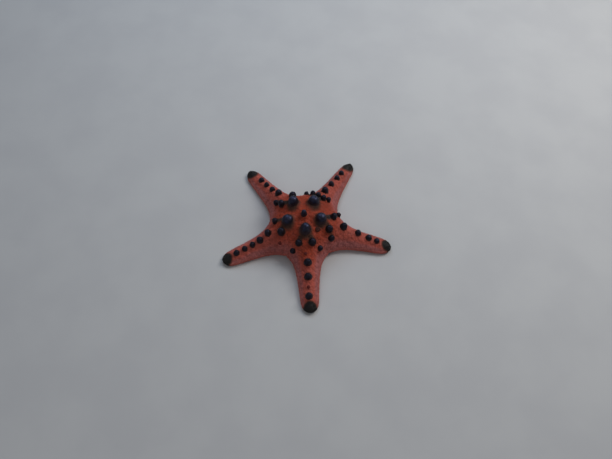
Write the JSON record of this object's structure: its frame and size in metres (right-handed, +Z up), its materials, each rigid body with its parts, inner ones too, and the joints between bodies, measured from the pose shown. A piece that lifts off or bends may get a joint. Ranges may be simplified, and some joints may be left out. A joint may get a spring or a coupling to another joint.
{
  "type": "horned sea star",
  "caption": "Horned sea star at rest on its flat underside: domed disc with stout dark horns, tapering arms with dark ends and a row of dark tubercles, and tube feet in grooves below.",
  "frame": {"origin": "middle of the whole star's box at floor level", "axes": "+Z up out of the back, -Y towards the near arm, +X to the right as seen from the near arm's side"},
  "size_m": [0.1948, 0.205, 0.0482],
  "materials": {
    "skin": "granular, orange red to mauve, matte",
    "dark_tip": "granular, near black, satin",
    "horn": "smooth hard skin, near black, satin with a bluish sheen",
    "sieve_plate": "finely grooved, matte",
    "mouth": "soft, moist, satin"
  },
  "bodies": {
    "root": {"disc": "skin", "arm_right": "skin", "arm_far_right": "skin", "arm_far_left": "skin", "arm_left": "skin", "arm_near": "skin", "tip_right": "dark_tip", "tip_far_right": "dark_tip", "tip_far_left": "dark_tip", "tip_left": "dark_tip", "tip_near": "dark_tip", "horn_right": "horn", "horn_far_right": "horn", "horn_far_left": "horn", "horn_left": "horn", "horn_near": "horn", "horn_centre": "horn", "madreporite": "sieve_plate", "mouth": "mouth"}
  },
  "joints": []
}
